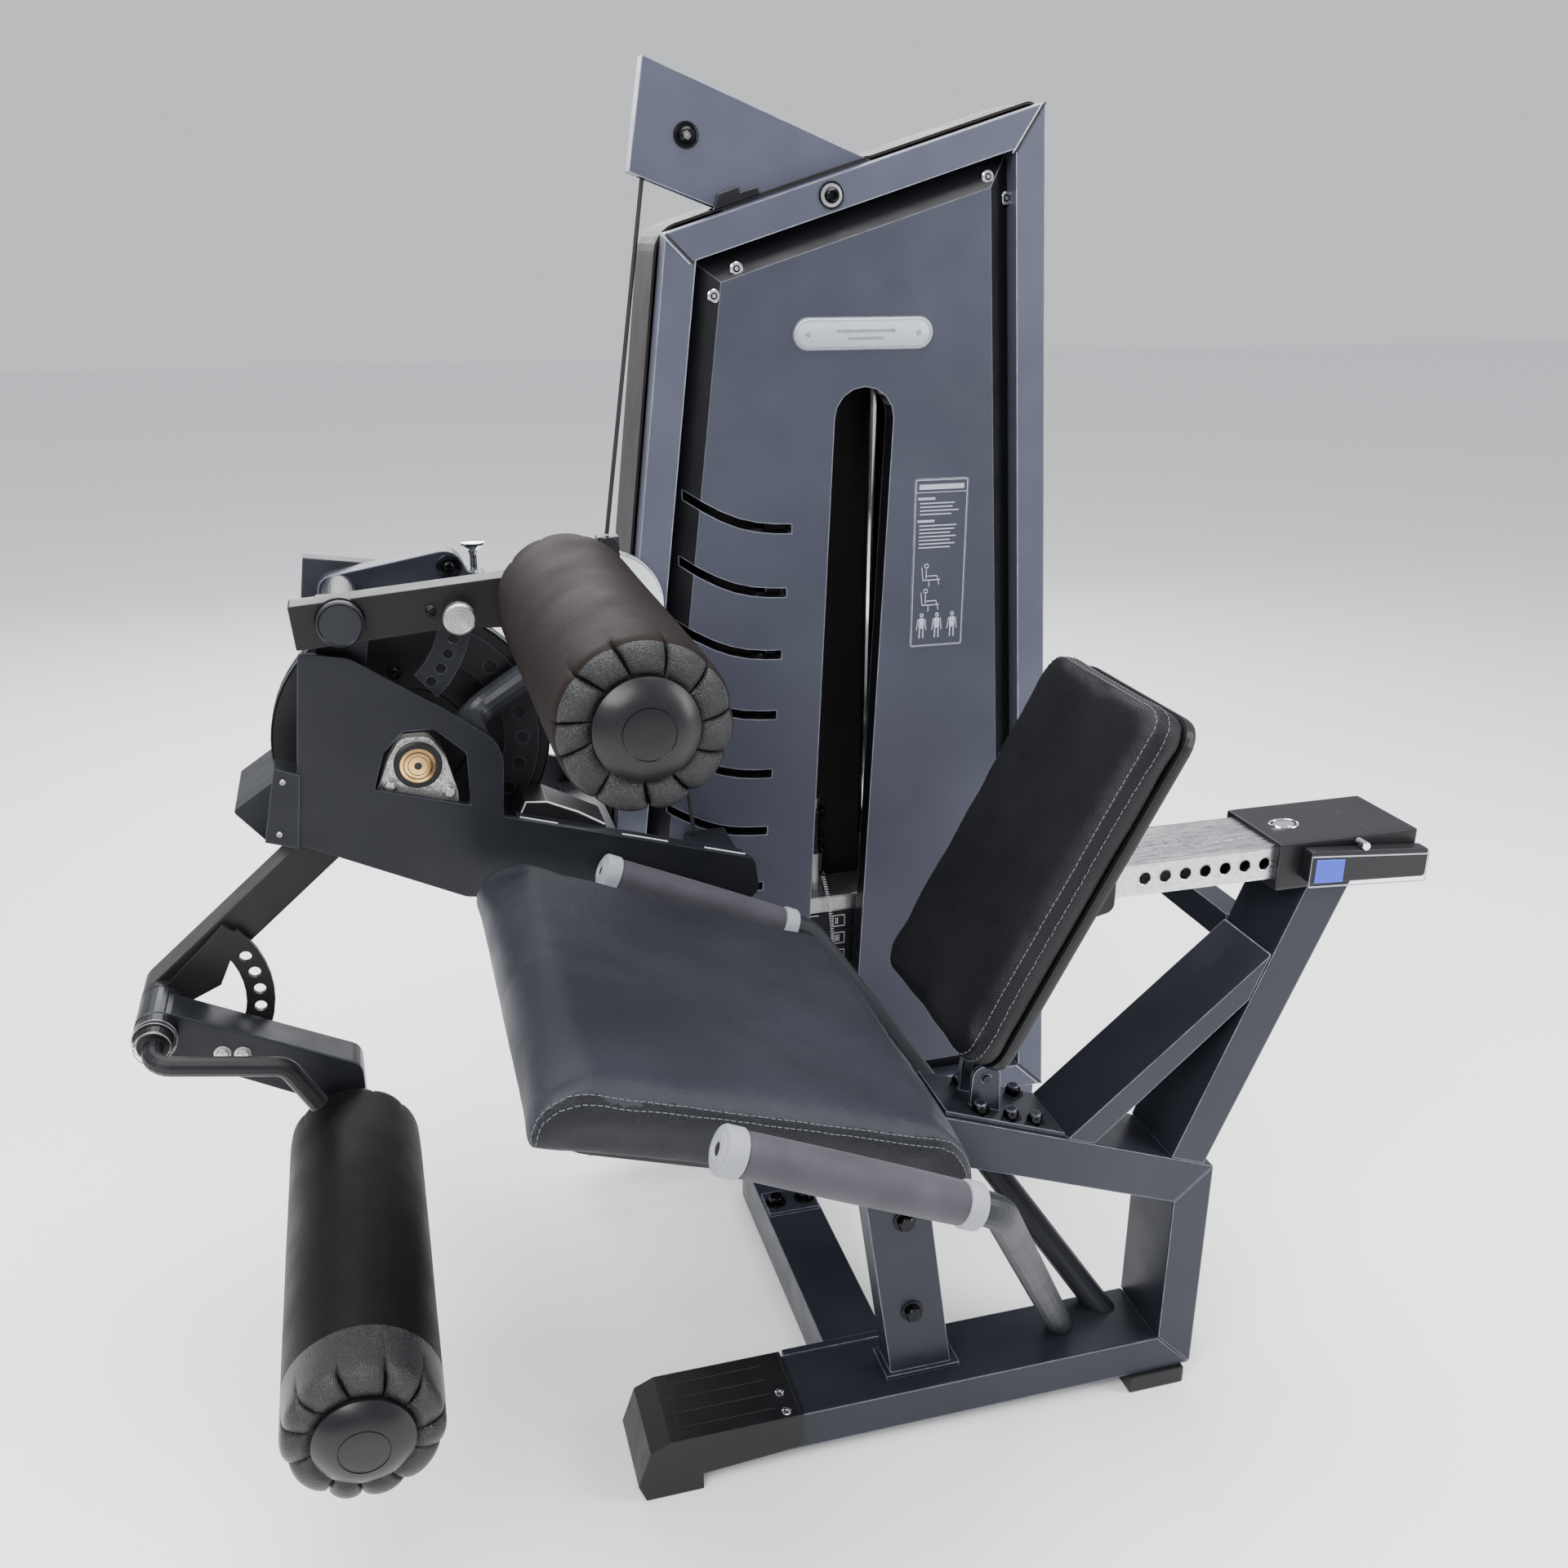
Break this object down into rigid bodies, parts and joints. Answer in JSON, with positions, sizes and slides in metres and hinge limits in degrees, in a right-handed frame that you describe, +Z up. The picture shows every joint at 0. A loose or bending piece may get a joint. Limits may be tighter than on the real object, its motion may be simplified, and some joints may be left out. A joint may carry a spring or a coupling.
{
  "type": "leg extension machine",
  "caption": "Seated leg extension machine with a swinging roller arm, thigh roller, sloping seat, reclining back rest and an enclosed weight tower beside it.",
  "frame": {"origin": "centre of the bounding box's footprint on the floor", "axes": "+Z up, +X from the foot end to the back rest, +Y from the seat to the weight tower"},
  "size_m": [1.3036, 0.8708, 1.4188],
  "materials": {
    "slate_paint": "satin slate grey powder coat",
    "black_paint": "satin black powder coat",
    "panel_paint": "satin blue-grey powder coat",
    "black_leather": "black artificial leather with stitched seams",
    "brown_leather": "dark brown-grey artificial leather, matt",
    "cord_black": "black coated steel cable",
    "grip_grey": "matt grey foam rubber with light grey collars",
    "black_plastic": "moulded black plastic",
    "chrome": "polished chrome plate",
    "cast_aluminium": "cast and machined aluminium",
    "bright_steel": "bright turned steel",
    "gold": "gold coloured anodised cap"
  },
  "bodies": {
    "machine_frame": {"base_beam": "slate_paint", "boom": "panel_paint", "drop_cable": "cord_black", "floor_tie": "slate_paint", "front_foot_cap": "black_plastic", "front_post": "slate_paint", "grip_far": "grip_grey", "grip_near": "grip_grey", "guide_rods": "chrome", "handle_tube_far": "slate_paint", "handle_tube_near": "slate_paint", "housing_brace_tube": "slate_paint", "housing_far_plate": "slate_paint", "housing_near_plate": "slate_paint", "housing_tray": "black_paint", "lift_cable_anchor": "cord_black", "lift_cable_pull": "cord_black", "mast": "slate_paint", "pillow_block": "cast_aluminium", "rear_brace": "slate_paint", "rear_foot": "black_plastic", "rear_post": "slate_paint", "resting_weights": "black_paint", "seat_beam": "slate_paint", "seat_board": "black_plastic", "seat_pad": "black_leather", "seat_plate": "slate_paint", "slider_head": "black_paint", "stack_cable": "cord_black", "thigh_bracket": "slate_paint", "tower_front_frame": "panel_paint", "tower_front_panel": "panel_paint", "tower_shell": "panel_paint"},
    "lever": {"main_shaft": "gold", "cam_disc": "black_paint", "lever_arm": "slate_paint"},
    "roller_arm_body": {"roller_arm": "slate_paint"},
    "roller_release": {"roller_release_handle": "black_paint"},
    "lower_roller": {"lower_roller_pad": "black_leather", "lower_roller_cap": "black_plastic"},
    "thigh": {"thigh_arm": "slate_paint", "thigh_shaft": "slate_paint", "thigh_far_arm": "slate_paint"},
    "thigh_lock_knob": {"thigh_knob": "bright_steel"},
    "thigh_lock_plunger": {"thigh_plunger": "chrome"},
    "upper_roller": {"upper_roller_pad": "brown_leather", "upper_roller_cap": "black_plastic"},
    "stack": {"lifted_weights": "black_paint", "selector_stem": "bright_steel"},
    "pin": {"selector_pin": "bright_steel"},
    "float": {"float_block": "black_paint", "lift_cable_wrap": "cord_black"},
    "float_wheel": {"float_pulley": "chrome"},
    "boom_wheel": {"boom_pulley": "cast_aluminium"},
    "tower_wheel": {"tower_pulley": "cast_aluminium"},
    "backrest": {"back_pad": "black_leather", "back_board": "black_plastic", "back_bracket": "black_paint"},
    "slider": {"slider_tube": "chrome"},
    "release": {"release_handle": "black_paint"}
  },
  "joints": [
    {"name": "stack_lift", "type": "slide", "parent": "machine_frame", "child": "stack", "axis": [0, 0, 1], "range_m": [0, 0.119], "deforming": ["stack_cable"]},
    {"name": "lever_swing", "type": "hinge", "parent": "machine_frame", "child": "lever", "pos_m": [-0.33869, -0.1396, 0.7125], "axis": [0, 1, 0], "range_deg": [0, 90]},
    {"name": "float_drop", "type": "slide", "parent": "machine_frame", "child": "float", "axis": [0, 0, -1], "range_m": [0, 0.12], "deforming": ["drop_cable", "lift_cable_pull", "lift_cable_anchor"]},
    {"name": "float_wheel_spin", "type": "hinge", "parent": "float", "child": "float_wheel", "pos_m": [-0.11019, 0.2654, 0.85], "axis": [0, 1, 0], "range_deg": [-126, 0]},
    {"name": "boom_wheel_spin", "type": "hinge", "parent": "machine_frame", "child": "boom_wheel", "pos_m": [-0.00019, 0.3264, 1.343], "axis": [0, 1, 0], "range_deg": [-170, 0]},
    {"name": "tower_wheel_spin", "type": "hinge", "parent": "machine_frame", "child": "tower_wheel", "pos_m": [0.12231, 0.3264, 1.25], "axis": [0, 1, 0], "range_deg": [-170, 0]},
    {"name": "roller_arm_set", "type": "hinge", "parent": "lever", "child": "roller_arm_body", "pos_m": [-0.62919, -0.1396, 0.462], "axis": [0, 1, 0], "range_deg": [-25, 20]},
    {"name": "roller_release_turn", "type": "hinge", "parent": "roller_arm_body", "child": "roller_release", "pos_m": [-0.62919, -0.1396, 0.462], "axis": [0, 1, 0], "range_deg": [-10, 0], "stiffness_Nm_per_rad": 5, "springref_deg": 5.73},
    {"name": "lower_roller_spin", "type": "hinge", "parent": "roller_arm_body", "child": "lower_roller", "pos_m": [-0.44319, -0.1396, 0.3], "axis": [0, 1, 0], "continuous": true},
    {"name": "thigh_set", "type": "hinge", "parent": "machine_frame", "child": "thigh", "pos_m": [-0.40219, -0.1396, 0.879], "axis": [0, 1, 0], "range_deg": [0, 34.4]},
    {"name": "thigh_knob_pull", "type": "slide", "parent": "thigh", "child": "thigh_lock_knob", "axis": [0, -1, 0], "range_m": [0, 0.012], "stiffness_N_per_m": 300, "springref_m": -0.004},
    {"name": "thigh_plunger_pull", "type": "slide", "parent": "thigh", "child": "thigh_lock_plunger", "axis": [0, 0, 1], "range_m": [0, 0.008], "stiffness_N_per_m": 300, "springref_m": -0.004},
    {"name": "upper_roller_spin", "type": "hinge", "parent": "thigh", "child": "upper_roller", "pos_m": [-0.17519, -0.1396, 0.887], "axis": [0, 1, 0], "continuous": true},
    {"name": "selector_pin_pull", "type": "slide", "parent": "stack", "child": "pin", "axis": [0, -1, 0], "range_m": [0, 0.06]},
    {"name": "backrest_tilt", "type": "hinge", "parent": "machine_frame", "child": "backrest", "pos_m": [0.19281, -0.1396, 0.43], "axis": [0, 1, 0], "range_deg": [-5.9, 11.8]},
    {"name": "slider_slide", "type": "slide", "parent": "machine_frame", "child": "slider", "axis": [1, 0, 0], "range_m": [-0.0226, 0.046]},
    {"name": "release_pull", "type": "slide", "parent": "machine_frame", "child": "release", "axis": [0, -1, 0], "range_m": [0, 0.012], "stiffness_N_per_m": 400, "springref_m": -0.004}
  ],
  "couplings": [
    {"joint": "lever_swing", "follows": "stack_lift", "rad_per_m": 13.158},
    {"joint": "float_drop", "follows": "stack_lift", "ratio": 1},
    {"joint": "float_wheel_spin", "follows": "stack_lift", "rad_per_m": -18.182},
    {"joint": "boom_wheel_spin", "follows": "stack_lift", "rad_per_m": -24.691},
    {"joint": "tower_wheel_spin", "follows": "stack_lift", "rad_per_m": -24.691},
    {"joint": "slider_slide", "follows": "backrest_tilt", "m_per_rad": 0.2185}
  ]
}
